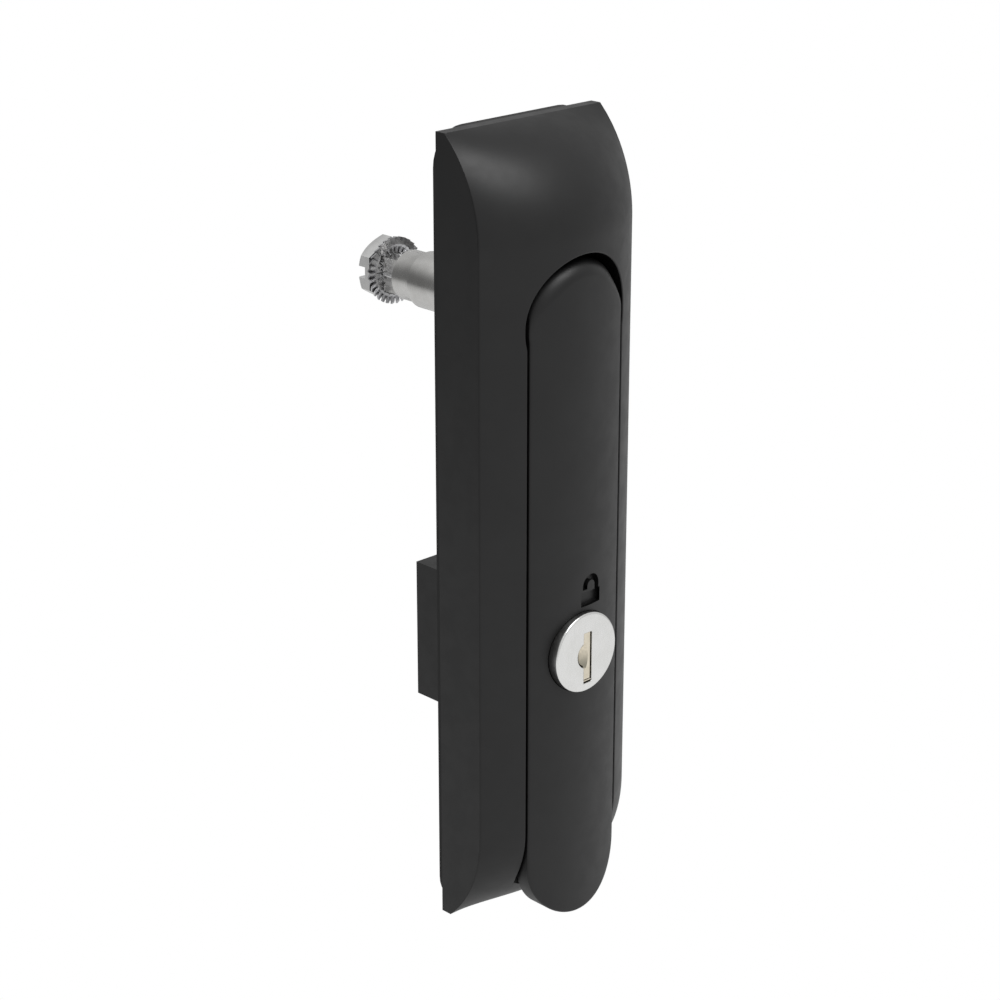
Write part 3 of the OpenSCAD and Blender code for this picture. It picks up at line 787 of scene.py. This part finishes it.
def handle_shell():
    """Closed shell with the handle's front, and a rough underside inside the copied back."""
    levels = [LOW_Z - HANDLE_HALF * math.cos(math.radians(90 * k / 44)) for k in range(45)]
    levels += [LOW_Z + (NECK_Z - LOW_Z) * k / 60 for k in range(1, 61)]
    levels += [NECK_Z + (HEAD_R - NECK_Z) * math.sin(math.radians(90 * k / 50)) for k in range(1, 51)]
    shares = spread(2 * HANDLE_HALF, HANDLE_R, HANDLE_R, 40)
    top, under = [], []
    for z in levels:
        w = max(handle_width(z), 0.02)
        line = [handle_point(w * (2 * f - 1), z)[0] for f in shares]
        top.append(line)
        inward = 0.3 if z < -40 else -0.3
        under.append([Vector((p.x * 0.96, p.y + 0.6, p.z + inward)) for p in line])
    bm = bmesh.new()
    a, b = [[[bm.verts.new(p * MM) for p in row] for row in rows] for rows in (top, under)]
    last, side = len(levels) - 1, len(shares) - 1
    for j in range(last):
        for i in range(side):
            bm.faces.new((a[j][i], a[j][i + 1], a[j + 1][i + 1], a[j + 1][i]))
            bm.faces.new((b[j][i], b[j + 1][i], b[j + 1][i + 1], b[j][i + 1]))
        for i, flip in ((0, False), (side, True)):
            quad = (a[j][i], a[j + 1][i], b[j + 1][i], b[j][i])
            bm.faces.new(quad[::-1] if flip else quad)
    for j, flip in ((0, True), (last, False)):
        for i in range(side):
            quad = (a[j][i], a[j][i + 1], b[j][i + 1], b[j][i])
            bm.faces.new(quad[::-1] if flip else quad)
    shell = bare_object("handle_front", bm)
    shell.data.materials.append(MATERIALS["handle"])
    return shell


def prism(name, outline):
    """Upright prism through the handle's front."""
    bm = bmesh.new()
    extrude(bm, outline, FRONT_Y - 3, 6)
    return bare_object(name, bm)


def sign_outline():
    """Outline of the open padlock: body, and shackle whose left leg is cut short."""
    x, top = SIGN_X, SIGN_LOW + SIGN_H
    ring_z = top + SHACKLE_RISE
    outline = [(x - SIGN_W / 2, SIGN_LOW), (x + SIGN_W / 2, SIGN_LOW), (x + SIGN_W / 2, top),
               (x + SHACKLE_R, top)]
    outline += circle_arc(x, ring_z, SHACKLE_R, 0, 180, 24)
    outline += [(x - SHACKLE_R, top + SHACKLE_CUT), (x - SHACKLE_IN_R, top + SHACKLE_CUT)]
    outline += circle_arc(x, ring_z, SHACKLE_IN_R, 180, 0, 16)
    return outline + [(x + SHACKLE_IN_R, top), (x - SIGN_W / 2, top)]


def set_handle_normals(mesh):
    """Exact normals on the front, so that the cuts leave no trace in the gloss."""
    mesh.polygons.foreach_set("use_smooth", [True] * len(mesh.polygons))
    normals = [None] * len(mesh.loops)
    for poly in mesh.polygons:
        for k in poly.loop_indices:
            p = mesh.vertices[mesh.loops[k].vertex_index].co / MM
            point, normal = handle_point(p.x, p.z) if handle_gap(p.x, p.z) > -0.02 else (p, poly.normal)
            near = abs(point.y - p.y) < 0.1 and poly.normal.dot(normal) > 0.8
            normals[k] = normal if near else poly.normal.copy()
    mesh.normals_split_custom_set(normals)


def dress_handle():
    front = handle_shell()
    bore = circle_arc(0, LOCK_Z, FACE_BORE_R, 0, 358, 179)
    set_handle_normals(cut(front, (prism("sign", sign_outline()), prism("bore", bore)), "INDEX"))

    def on_front(p, slack):
        return abs(p.y - cad_handle_y(max(-HEAD_R, min(HEAD_R, p.x)), p.z)) < slack

    def drop_face(p, n):
        return n.y < -0.2 and on_front(p, 0.08)

    def move_vert(p):
        if on_front(p, 0.06) and abs(handle_gap(p.x, p.z)) < 0.05:
            return handle_point(p.x * 0.9995, p.z * 0.9995 if p.z > 0 else p.z)[0].y
        return p.y

    back = copy_without("handle", "handle_back", drop_face, move_vert)
    for piece in (front, back):
        stand_in(piece, "handle", "handle")


def dress_sign_floor():
    """Floor of the padlock sign, which has the tone of the front."""
    bm = bmesh.new()
    middle = LOCK_Z + 10.5
    rows = [[bm.verts.new(Vector((SIGN_X + a, crown_y(SIGN_X + a) + SIGN_DEPTH, middle + b)) * MM)
             for a in (-3.2, -1.6, 0, 1.6, 3.2)] for b in (-3.2, 3.8)]
    for low, high in zip(rows, rows[1:]):
        for i in range(len(low) - 1):
            bm.faces.new((low[i], low[i + 1], high[i + 1], high[i]))
    stand_in(finished_object("sign_floor", bm, MATERIALS["handle"]), "handle", "handle")


# Lock face, spindle end and small metal pieces

def softened(node, body, width):
    """The node's own shape with its hard edges broken."""
    bm = node_copy(node)
    bmesh.ops.dissolve_limit(bm, angle_limit=math.radians(0.6), verts=bm.verts, edges=bm.edges)
    piece = finished_object(node + "_soft", bm, MATERIALS[slots[node]])
    add_modifier(piece, "edges", "BEVEL", width=width * MM, segments=2, limit_method="ANGLE",
                 angle_limit=math.radians(35), use_clamp_overlap=True)
    finish_mesh(bake_modifiers(piece), MATERIALS[slots[node]], 24)
    stand_in(piece, node, body)
    return piece


def dress_shutter():
    """Insert in the keyhole, with dark gaps on its right, below and round its bulge."""
    left, right = KEY_X - KEY_HALF, KEY_X + KEY_HALF - KEY_GAP
    low, top = LOCK_Z + KEY_LOW + 0.72, LOCK_Z + KEY_TOP
    turn = math.degrees(math.acos((left - KEY_X) / BULGE_R))
    bulge = circle_arc(KEY_X, LOCK_Z + BULGE_Z, BULGE_R, turn, 360 - turn, 24)
    foot_low, foot_top, foot_right = low - 0.4, low - 0.22, right + 0.3
    bm = bmesh.new()
    extrude(bm, [(left, low), (right, low), (right, top), (left, top)] + bulge, FACE_Y + 0.04, 0.9)
    extrude(bm, [(left, foot_low), (foot_right, foot_low), (foot_right, foot_top), (left, foot_top)],
            FACE_Y + 0.1, 0.8)
    piece = finished_object("key_insert", bm, MATERIALS["plug_metal"])

    ball = bmesh.new()
    bmesh.ops.create_uvsphere(ball, u_segments=64, v_segments=48, radius=1.0)
    bmesh.ops.scale(ball, vec=Vector((2.2, 2.3, 5.1)) * MM, verts=ball.verts)
    bmesh.ops.translate(ball, vec=Vector((-0.9, FACE_Y - 1.86, LOCK_Z - 0.6)) * MM, verts=ball.verts)
    scoop = finished_object("scoop", ball, MATERIALS["key_dish"])
    smooth_by_angle(cut(piece, (scoop,), "TRANSFER"), 14)
    stand_in(piece, "dust_shutter", "lock_plug")


def tooth(bm, angle, r0, r1, width, turn0, turn1, thick, y0):
    """One blade of the washer, twisted from its root to its tip."""
    rings = []
    for r, turn in ((r0, turn0), ((r0 + r1) / 2, (turn0 + turn1) / 2), (r1, turn1)):
        c, s = math.cos(math.radians(turn)), math.sin(math.radians(turn))
        ring = []
        for w, h in ((-1, -1), (1, -1), (1, 1), (-1, 1)):
            a, b = w * width * (r / r0) / 2, h * thick / 2
            y, side = b * c + a * s, a * c - b * s
            ca, sa = math.cos(angle), math.sin(angle)
            ring.append(bm.verts.new(Vector((r * ca - side * sa, y0 + y, r * sa + side * ca)) * MM))
        rings.append(ring)
    for a, b in zip(rings, rings[1:]):
        for i in range(4):
            bm.faces.new((a[i], a[(i + 1) % 4], b[(i + 1) % 4], b[i]))
    bm.faces.new(rings[0])
    bm.faces.new(rings[-1])


def dress_washer():
    """Washer with twisted blades on the outside and the inside of its ring."""
    low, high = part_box("toothed_washer")
    y0 = (low[1] + high[1]) / 2 / MM
    bm = bmesh.new()
    for k in range(30):
        tooth(bm, 2 * math.pi * k / 30, 4.5, 5.8, 1.0, 20, 32, 0.3, y0)
    for k in range(24):
        tooth(bm, 2 * math.pi * (k + 0.4) / 24, 4.25, 3.2, 0.86, -14, -40, 0.34, y0)
    count = 96
    rings = []
    for r, y in ((WASHER_IN_R, -WASHER_HALF), (WASHER_OUT_R, -WASHER_HALF),
                 (WASHER_OUT_R, WASHER_HALF), (WASHER_IN_R, WASHER_HALF)):
        angles = [2 * math.pi * i / count for i in range(count)]
        rings.append([bm.verts.new(Vector((r * math.cos(a), y0 + y, r * math.sin(a))) * MM)
                      for a in angles])
    for a, b in zip(rings, rings[1:] + rings[:1]):
        for i in range(count):
            bm.faces.new((a[i], a[(i + 1) % count], b[(i + 1) % count], b[i]))
    piece = finished_object("washer_blades", bm, MATERIALS["washer"], 35)
    stand_in(piece, "toothed_washer", "spindle")


def dress_face_cap():
    """Lock face whose wall is drawn down over the flange behind it."""
    mesh = softened("face_cap", "lock_plug", 0.12).data
    # The side wall gets the darker copy of the lock metal, as painted shade
    mesh.materials.append(MATERIALS["lock_wall_painted_shade"])
    for poly in mesh.polygons:
        poly.material_index = 1 if abs(poly.normal.y) < 0.25 else 0
    back = max(v.co.y for v in mesh.vertices)
    middle = LOCK_Z * MM
    for v in mesh.vertices:
        if math.hypot(v.co.x, v.co.z - middle) > (FACE_R - 0.2) * MM and v.co.y > back - 0.2 * MM:
            v.co.y += CAP_WALL * MM
            v.co.x *= CAP_GROW
            v.co.z = middle + (v.co.z - middle) * CAP_GROW


SOFT_EDGES = (
    ("spindle", {"spindle": 0.12, "cam_screw": 0.1, "retaining_ring": 0.06}),
    ("housing", {"carrier": 0.15, "catch_plate": 0.08, "spindle_bush": 0.12, "rest_pad": 0.2,
                 "fixing_inserts": 0.08}),
    ("handle", {"hinge_pin": 0.15, "lock_clip": 0.05}),
    ("lock_plug", {"lock_cam": 0.1, "cam_nut": 0.1}),
)

dress_housing()
dress_handle()
dress_shutter()
dress_washer()
dress_face_cap()
dress_sign_floor()
for body, widths in SOFT_EDGES:
    for node, width in widths.items():
        softened(node, body, width)

bpy.context.scene.view_settings.view_transform = "Standard"
